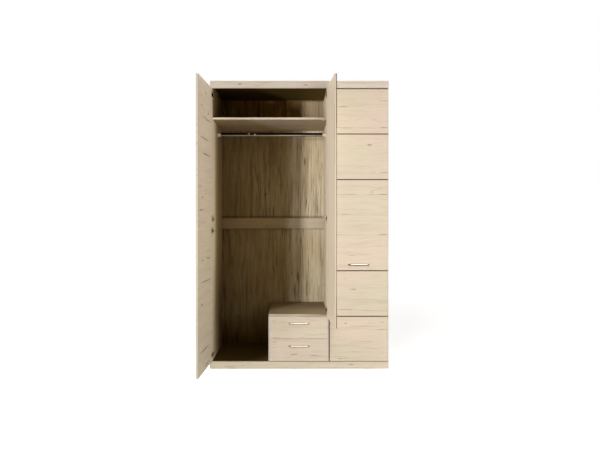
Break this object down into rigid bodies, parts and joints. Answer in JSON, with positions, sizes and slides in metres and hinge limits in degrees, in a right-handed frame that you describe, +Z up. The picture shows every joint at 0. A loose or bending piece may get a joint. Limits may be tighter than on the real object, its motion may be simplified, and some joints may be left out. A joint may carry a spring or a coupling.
{
  "type": "wardrobe",
  "caption": "Tall oak-look wardrobe with hinged doors, a hat shelf, a clothes rail, linen shelves and drawers under the middle door.",
  "frame": {"origin": "on the floor, in the middle of the width, under the middle of the front plinth board's thickness", "axes": "+Z up, +X to the viewer's right when facing the doors, +Y from the front to the back"},
  "size_m": [1.3748, 1.0059, 2.16],
  "materials": {
    "oak_front": "matt oak-look foil with fine horizontal grain",
    "oak_carcass": "matt oak-look foil",
    "oak_inside": "matt oak-look foil",
    "back_board": "printed hardboard with vertical grain",
    "handle_metal": "satin",
    "hinge_steel": "nickel plated",
    "rail_chrome": "polished",
    "cast_zinc": "bright cast zinc",
    "runner_plastic": "moulded"
  },
  "bodies": {
    "carcass": {"left_side_panel": "oak_carcass", "right_side_panel": "oak_carcass", "top_panel": "oak_carcass", "cornice_rail": "oak_carcass", "plinth_front": "oak_carcass", "chest_side_panel": "oak_carcass", "partition_panel": "oak_inside", "bottom_panel": "oak_inside", "plinth_rear": "oak_inside", "back_traverse": "oak_inside", "hat_shelf": "oak_inside", "chest_top_panel": "oak_inside", "linen_shelf_fixed": "oak_inside", "linen_shelf_1": "oak_inside", "linen_shelf_2": "oak_inside", "linen_shelf_3": "oak_inside", "back_panel": "back_board", "clothes_rail": "rail_chrome", "rail_socket_left": "cast_zinc", "rail_socket_right": "cast_zinc", "left_door_hinge_arm_1": "hinge_steel", "left_door_hinge_arm_2": "hinge_steel", "left_door_hinge_arm_3": "hinge_steel", "left_door_hinge_arm_4": "hinge_steel", "middle_door_hinge_arm_1": "hinge_steel", "middle_door_hinge_arm_2": "hinge_steel", "middle_door_hinge_arm_3": "hinge_steel", "right_door_hinge_arm_1": "hinge_steel", "right_door_hinge_arm_2": "hinge_steel", "right_door_hinge_arm_3": "hinge_steel", "right_door_hinge_arm_4": "hinge_steel", "lower_runner_left": "runner_plastic", "lower_runner_right": "runner_plastic", "upper_runner_left": "runner_plastic", "upper_runner_right": "runner_plastic"},
    "left_door": {"left_door_panel": "oak_front", "left_door_handle": "handle_metal", "left_door_hinge_cup_1": "hinge_steel", "left_door_hinge_cup_2": "hinge_steel", "left_door_hinge_cup_3": "hinge_steel", "left_door_hinge_cup_4": "hinge_steel"},
    "middle_door": {"middle_door_panel": "oak_front", "middle_door_handle": "handle_metal", "middle_door_hinge_cup_1": "hinge_steel", "middle_door_hinge_cup_2": "hinge_steel", "middle_door_hinge_cup_3": "hinge_steel"},
    "right_door": {"right_door_panel": "oak_front", "right_door_handle": "handle_metal", "right_door_hinge_cup_1": "hinge_steel", "right_door_hinge_cup_2": "hinge_steel", "right_door_hinge_cup_3": "hinge_steel", "right_door_hinge_cup_4": "hinge_steel"},
    "lower_drawer": {"lower_drawer_front": "oak_front", "lower_drawer_wrap": "oak_inside", "lower_drawer_bottom": "back_board", "lower_drawer_handle": "handle_metal"},
    "upper_drawer": {"upper_drawer_front": "oak_front", "upper_drawer_wrap": "oak_inside", "upper_drawer_bottom": "back_board", "upper_drawer_handle": "handle_metal"}
  },
  "joints": [
    {"name": "left_door_hinge", "type": "hinge", "parent": "carcass", "child": "left_door", "pos_m": [-0.6612, -0.0027, 1.08], "axis": [0, 0, -1], "range_deg": [-93.5, 1.5]},
    {"name": "middle_door_hinge", "type": "hinge", "parent": "carcass", "child": "middle_door", "pos_m": [0.21453, -0.0027, 1.25], "axis": [0, 0, 1], "range_deg": [-93.5, 1.5]},
    {"name": "right_door_hinge", "type": "hinge", "parent": "carcass", "child": "right_door", "pos_m": [0.6612, -0.0027, 1.08], "axis": [0, 0, 1], "range_deg": [0, 95]},
    {"name": "upper_drawer_slide", "type": "slide", "parent": "carcass", "child": "upper_drawer", "axis": [0, -1, 0], "range_m": [0, 0.35]},
    {"name": "lower_drawer_slide", "type": "slide", "parent": "carcass", "child": "lower_drawer", "axis": [0, -1, 0], "range_m": [0, 0.35]}
  ]
}
